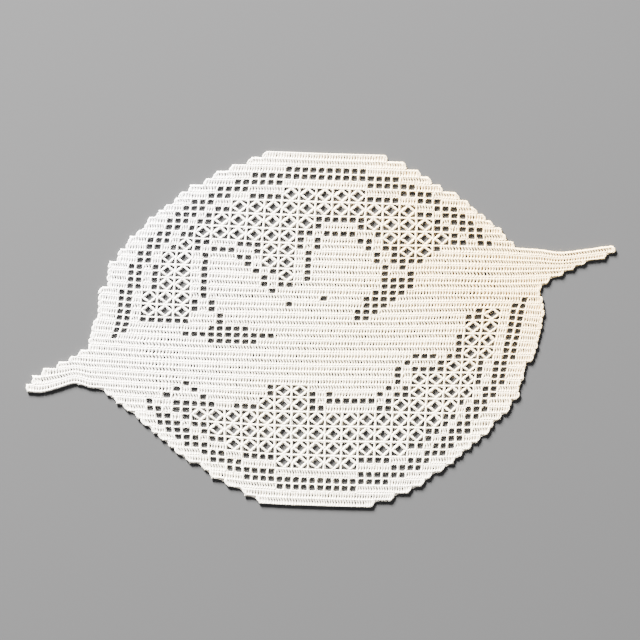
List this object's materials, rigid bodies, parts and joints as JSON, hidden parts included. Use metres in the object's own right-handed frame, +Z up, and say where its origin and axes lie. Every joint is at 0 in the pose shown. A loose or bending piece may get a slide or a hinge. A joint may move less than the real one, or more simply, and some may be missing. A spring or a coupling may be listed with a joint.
{
  "type": "filet crochet doily",
  "caption": "Flat oval doily of cream cotton filet crochet: close rows, open lace net, an openwork ring along the border, a flower with two long leaves and a pointed tail at each end.",
  "frame": {"origin": "middle of the cloth's bounding box, on its underside", "axes": "+X along the length, towards the right-hand tail; +Y across the cloth, towards its first row; +Z up, away from the surface it lies on"},
  "size_m": [0.4724, 0.2848, 0.0015],
  "materials": {
    "cotton": "matt cotton thread"
  },
  "bodies": {
    "root": {"doily": "cotton"}
  },
  "joints": []
}
